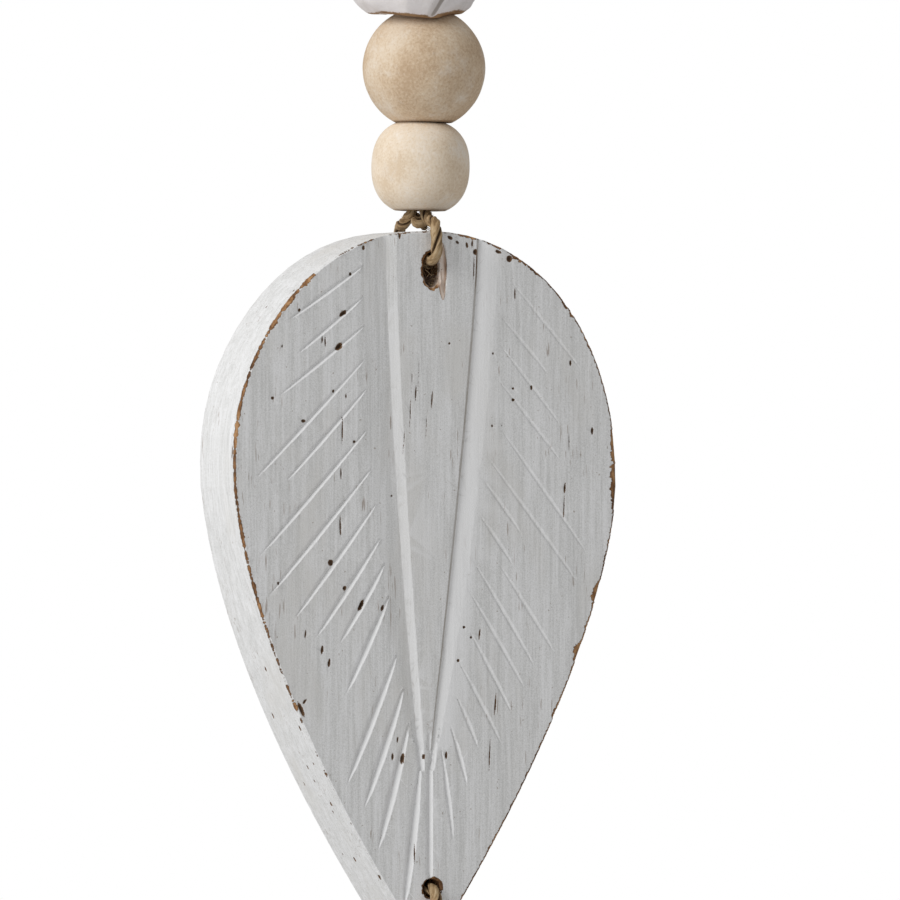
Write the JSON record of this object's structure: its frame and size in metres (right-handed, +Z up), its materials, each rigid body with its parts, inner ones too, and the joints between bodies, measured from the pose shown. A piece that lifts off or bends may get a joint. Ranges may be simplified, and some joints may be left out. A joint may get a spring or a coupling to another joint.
{
  "type": "hanging carved leaf ornament",
  "caption": "Hanging ornament: a thick whitewashed wooden leaf, carved with a midrib and veins, strung on jute twine between wooden beads and knots.",
  "frame": {"origin": "inside top of the twine hanging loop, where a hook or nail carries the piece", "axes": "+Z up along the hanging twine, the leaf's carved face looks along -Y, +X to the right of that face"},
  "size_m": [0.1026, 0.0333, 0.4466],
  "materials": {
    "whitewashed_wood": "matt whitewash over carved wood, rubbed through to brown wood along the edges",
    "chalk_white_wood": "matt chalky white paint on a hand-cut bead",
    "natural_wood": "bare sanded pale wood, matt",
    "jute_twine": "two-ply jute, fibrous and matt"
  },
  "bodies": {
    "root": {"hanging_loop": "jute_twine", "top_knot": "jute_twine", "top_bead": "natural_wood", "white_bead": "chalk_white_wood", "large_bead": "natural_wood", "small_bead": "natural_wood", "bead_twine": "jute_twine", "upper_leaf_twine": "jute_twine", "upper_tie": "jute_twine", "leaf": "whitewashed_wood", "lower_leaf_twine": "jute_twine", "lower_knot": "jute_twine", "lower_small_bead": "natural_wood", "lower_large_bead": "natural_wood", "lower_bead_twine": "jute_twine", "end_knot": "jute_twine"}
  },
  "joints": []
}
